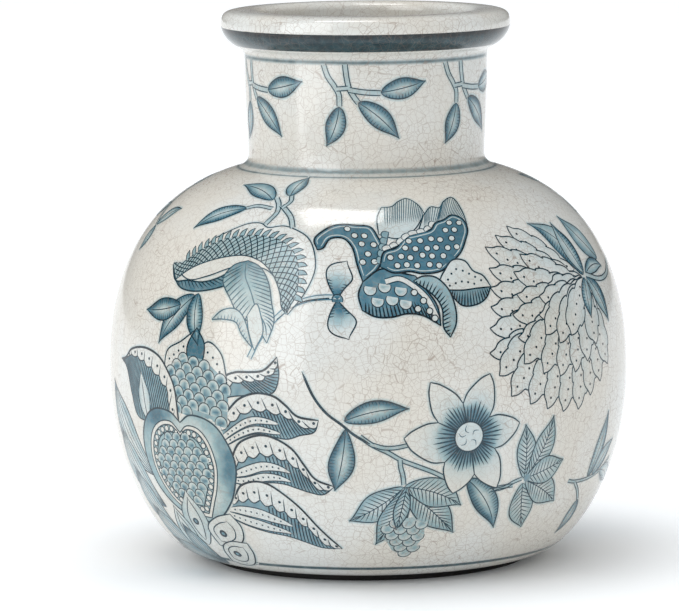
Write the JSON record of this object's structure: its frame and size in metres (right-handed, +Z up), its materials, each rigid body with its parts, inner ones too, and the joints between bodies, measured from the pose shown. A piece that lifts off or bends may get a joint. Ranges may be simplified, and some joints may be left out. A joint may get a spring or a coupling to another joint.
{
  "type": "pottery vase",
  "caption": "Round-bodied glazed pottery vase with a short straight neck, a cove at its base, a thick rolled lip and a recessed foot.",
  "frame": {"origin": "centre of the foot, on the surface that the vase stands on", "axes": "+Z up along the vase's axis; -Y is the side shown in front; +X is that side's right"},
  "size_m": [0.2032, 0.2032, 0.215],
  "materials": {
    "crackle_glaze": "clear gloss over off-white slip, with a fine brown crackle",
    "blue_slip": "blue-grey painting under the clear gloss",
    "bare_clay": "unglazed, matt"
  },
  "bodies": {
    "root": {"foot_ring": "bare_clay", "lower_body": "crackle_glaze", "upper_body": "crackle_glaze", "neck_cordon": "blue_slip", "neck_collar": "crackle_glaze", "rolled_rim": "crackle_glaze"}
  },
  "joints": []
}
